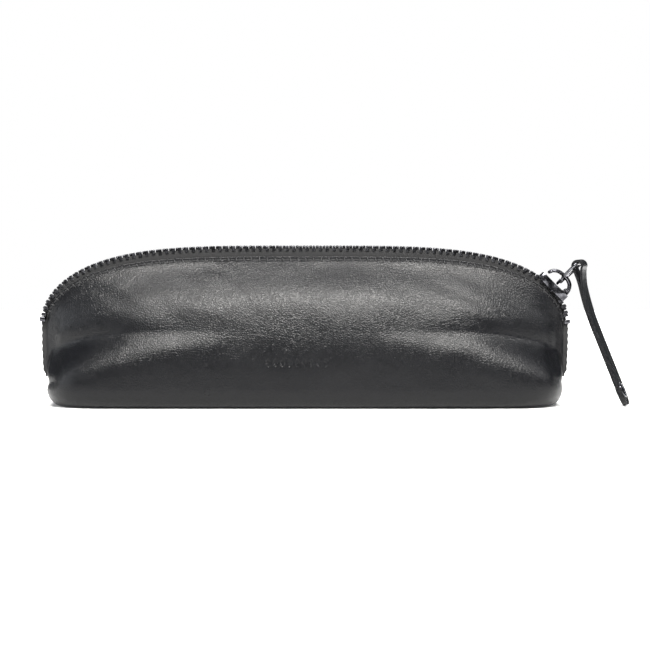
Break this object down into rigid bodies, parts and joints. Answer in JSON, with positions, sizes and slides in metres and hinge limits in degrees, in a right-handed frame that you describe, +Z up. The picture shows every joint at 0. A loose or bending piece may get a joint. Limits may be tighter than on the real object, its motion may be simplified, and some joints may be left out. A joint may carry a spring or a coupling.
{
  "type": "zipped leather pen case",
  "caption": "Domed leather case for pens, with a boxed base, a metal zip over its arched top and a folded leather strap on the slider.",
  "frame": {"origin": "centre of the case's base, on the surface it stands on", "axes": "+X along the case towards the end where the closed zip's slider rests, -Y towards the front, +Z up"},
  "size_m": [0.229, 0.048, 0.062],
  "materials": {
    "leather": "smooth black leather with a fine grain and a soft sheen",
    "strap_leather": "black leather strip with dyed cut edges",
    "lining": "woven dark grey lining",
    "board": "plain stiffener board",
    "tape": "black herringbone zip tape",
    "teeth": "black nickel plate, polished on the tops",
    "hardware": "polished black nickel plate",
    "thread": "waxed black thread"
  },
  "bodies": {
    "case": {"front_panel": "leather", "back_panel": "leather", "front_lining": "lining", "back_lining": "lining", "base_board": "board", "left_tape_end": "tape", "right_tape_end": "tape", "bottom_stop": "hardware", "front_top_stop": "hardware", "back_top_stop": "hardware"},
    "front_lip": {"front_tape": "tape", "front_teeth": "teeth", "front_stitching": "thread"},
    "back_lip": {"back_tape": "tape", "back_teeth": "teeth", "back_stitching": "thread"},
    "carrier": {"crown_pin": "hardware"},
    "slider": {"slider_body": "hardware", "slider_crown": "hardware", "lock_spring": "hardware"},
    "link": {"pull_link": "hardware"},
    "strap": {"pull_strap": "strap_leather", "strap_eyelet": "hardware", "eyelet_washer": "hardware"}
  },
  "joints": [
    {"name": "slider_travel", "type": "hinge", "parent": "case", "child": "carrier", "pos_m": [-0.00247, 0, -0.20888], "axis": [0, -1, 0], "range_deg": [0, 43.2], "deforming": ["front_panel", "front_lining", "front_tape", "front_teeth", "front_stitching", "back_panel", "back_lining", "back_tape", "back_teeth", "back_stitching"]},
    {"name": "slider_tilt", "type": "hinge", "parent": "carrier", "child": "slider", "pos_m": [0.10183, 0, 0.04421], "axis": [0, -1, 0], "range_deg": [0, 61.48]},
    {"name": "mouth_front", "type": "hinge", "parent": "case", "child": "front_lip", "pos_m": [0, 0, 0.036], "axis": [1, 0, 0], "range_deg": [0, 22.01], "deforming": ["front_panel", "front_lining", "front_tape", "front_teeth", "front_stitching"]},
    {"name": "mouth_back", "type": "hinge", "parent": "case", "child": "back_lip", "pos_m": [0, 0, 0.036], "axis": [-1, 0, 0], "range_deg": [0, 22.01], "deforming": ["back_panel", "back_lining", "back_tape", "back_teeth", "back_stitching"]},
    {"name": "link_swing", "type": "hinge", "parent": "slider", "child": "link", "pos_m": [0.09875, 0, 0.04728], "axis": [-0.3256, -0.9455, 0], "range_deg": [-12, 70]},
    {"name": "strap_swing", "type": "hinge", "parent": "link", "child": "strap", "pos_m": [0.10637, -0.00262, 0.05506], "axis": [-0.3256, -0.9455, 0], "range_deg": [-8, 100]}
  ],
  "couplings": [
    {"joint": "slider_tilt", "follows": "slider_travel", "ratio": 1.4228},
    {"joint": "mouth_front", "follows": "slider_travel", "ratio": 0.50922},
    {"joint": "mouth_back", "follows": "slider_travel", "ratio": 0.50922}
  ]
}
